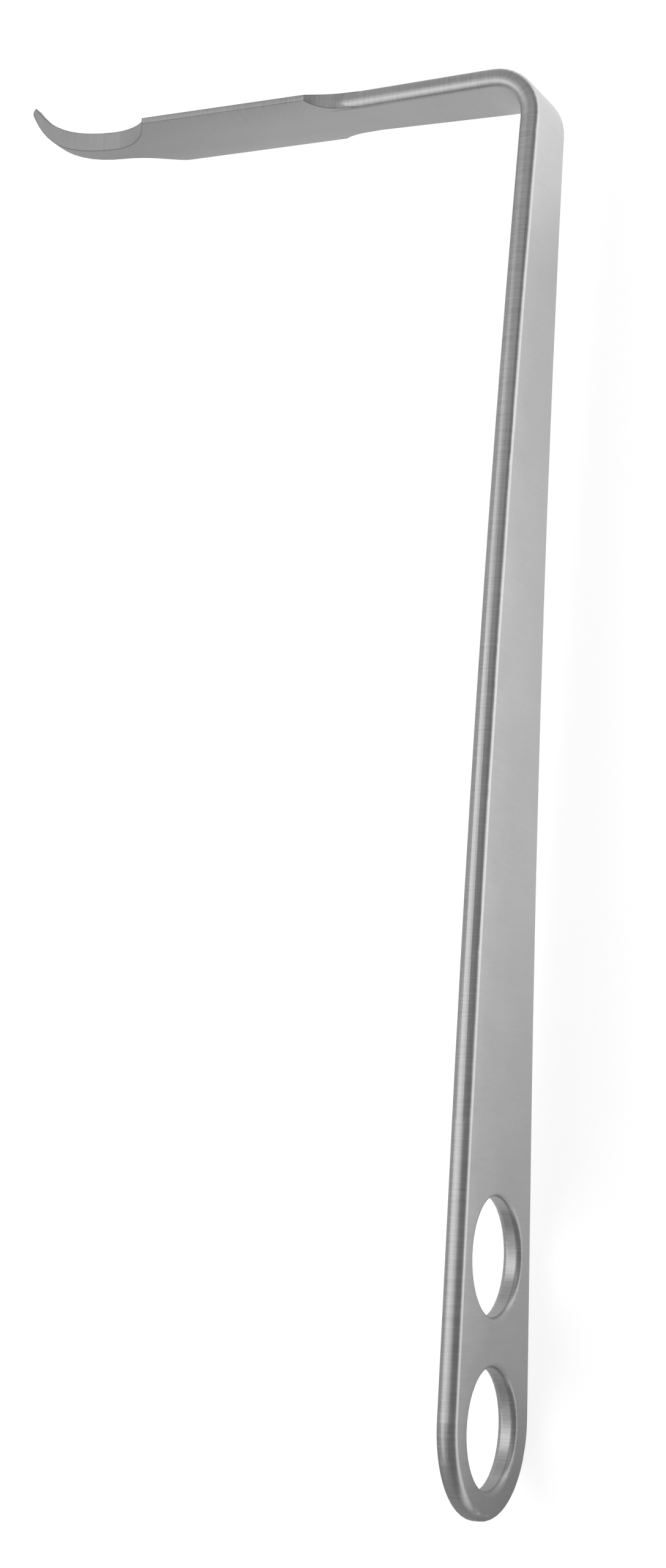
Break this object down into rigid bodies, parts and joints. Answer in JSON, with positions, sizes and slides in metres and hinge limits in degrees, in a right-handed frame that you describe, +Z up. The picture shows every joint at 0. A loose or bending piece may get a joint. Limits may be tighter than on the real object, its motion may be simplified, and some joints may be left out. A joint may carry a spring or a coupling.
{
  "type": "surgical retractor",
  "caption": "Handheld surgical retractor in satin steel: flat tapered handle with finger holes, a right-angle bend, a bevelled blade and a narrow upturned beak.",
  "frame": {"origin": "under the middle of the bounding box, at the lowest level of the piece as it lies on its side", "axes": "+Y runs up the handle from its free end to the bend, -X is where the blade points, +Z is up, square to the plane of the bend"},
  "size_m": [0.123, 0.2918, 0.0346],
  "materials": {
    "steel": "satin"
  },
  "bodies": {
    "root": {"retractor_body": "steel"}
  },
  "joints": []
}
